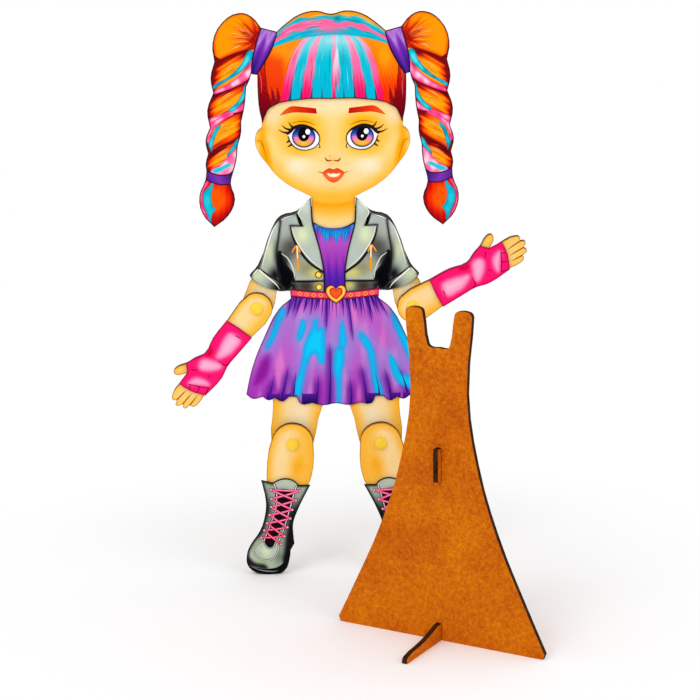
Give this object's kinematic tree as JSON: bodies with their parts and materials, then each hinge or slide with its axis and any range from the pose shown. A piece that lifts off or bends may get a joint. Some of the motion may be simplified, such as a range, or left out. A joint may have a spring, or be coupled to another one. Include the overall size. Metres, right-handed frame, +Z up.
{
  "type": "magnetic dress-up doll",
  "caption": "Flat laser-cut board doll with riveted elbows and knees, printed magnetic hair, dress, gloves and boots that lift off, and a separate fork stand.",
  "frame": {"origin": "middle of the whole object's box, on the surface that the boots and the stand rest on", "axes": "+Z up the doll; the doll faces -Y, with its left hand towards +X"},
  "size_m": [0.2112, 0.166, 0.338],
  "materials": {
    "hdf_board": "raw fibreboard with burnt cut edges",
    "printed_skin": "printed film, satin",
    "printed_hair": "printed flexible magnet, satin",
    "printed_outfit": "printed flexible magnet, satin",
    "printed_glove": "printed flexible magnet, satin",
    "printed_boot": "printed flexible magnet, satin",
    "rivet_plastic": "moulded yellow plastic",
    "stand_hdf": "raw fibreboard with burnt cut edges"
  },
  "bodies": {
    "doll": {"main_board": "hdf_board", "main_face_sheet": "printed_skin", "keeper_spacer": "hdf_board", "keeper_plate": "hdf_board", "right_elbow_rivet_stud": "rivet_plastic", "right_elbow_rivet_socket": "rivet_plastic", "right_knee_rivet_stud": "rivet_plastic", "right_knee_rivet_socket": "rivet_plastic", "left_elbow_rivet_stud": "rivet_plastic", "left_elbow_rivet_socket": "rivet_plastic", "left_knee_rivet_stud": "rivet_plastic", "left_knee_rivet_socket": "rivet_plastic"},
    "right_forearm": {"right_forearm_board": "hdf_board", "right_forearm_face_sheet": "printed_skin"},
    "right_shin": {"right_shin_board": "hdf_board", "right_shin_face_sheet": "printed_skin"},
    "right_glove": {"right_glove": "printed_glove"},
    "right_boot": {"right_boot": "printed_boot"},
    "left_forearm": {"left_forearm_board": "hdf_board", "left_forearm_face_sheet": "printed_skin"},
    "left_shin": {"left_shin_board": "hdf_board", "left_shin_face_sheet": "printed_skin"},
    "left_glove": {"left_glove": "printed_glove"},
    "left_boot": {"left_boot": "printed_boot"},
    "wig": {"wig": "printed_hair"},
    "outfit": {"outfit": "printed_outfit"},
    "stand": {"stand_plate": "stand_hdf", "stand_brace": "stand_hdf"}
  },
  "joints": [
    {"name": "right_elbow", "type": "hinge", "parent": "doll", "child": "right_forearm", "pos_m": [-0.05388, 0.07256, 0.1649], "axis": [0, 1, 0], "range_deg": [-24, 151]},
    {"name": "right_knee", "type": "hinge", "parent": "doll", "child": "right_shin", "pos_m": [-0.03418, 0.07256, 0.08147], "axis": [0, 1, 0], "range_deg": [-12, 45]},
    {"name": "left_elbow", "type": "hinge", "parent": "doll", "child": "left_forearm", "pos_m": [0.03852, 0.07256, 0.1649], "axis": [0, -1, 0], "range_deg": [-104, 71]},
    {"name": "left_knee", "type": "hinge", "parent": "doll", "child": "left_shin", "pos_m": [0.01882, 0.07256, 0.08147], "axis": [0, -1, 0], "range_deg": [-12, 45]},
    {"name": "wig_lift_off", "type": "slide", "parent": "doll", "child": "wig", "axis": [0, -1, 0], "range_m": [0, 0.015]},
    {"name": "outfit_lift_off", "type": "slide", "parent": "doll", "child": "outfit", "axis": [0, -1, 0], "range_m": [0, 0.015]},
    {"name": "right_glove_lift_off", "type": "slide", "parent": "right_forearm", "child": "right_glove", "axis": [0, -1, 0], "range_m": [0, 0.015]},
    {"name": "left_glove_lift_off", "type": "slide", "parent": "left_forearm", "child": "left_glove", "axis": [0, -1, 0], "range_m": [0, 0.015]},
    {"name": "right_boot_lift_off", "type": "slide", "parent": "right_shin", "child": "right_boot", "axis": [0, -1, 0], "range_m": [0, 0.015]},
    {"name": "left_boot_lift_off", "type": "slide", "parent": "left_shin", "child": "left_boot", "axis": [0, -1, 0], "range_m": [0, 0.015]},
    {"name": "stand_pull_away", "type": "slide", "parent": "doll", "child": "stand", "axis": [0, -1, 0], "range_m": [0, 0.08]}
  ]
}
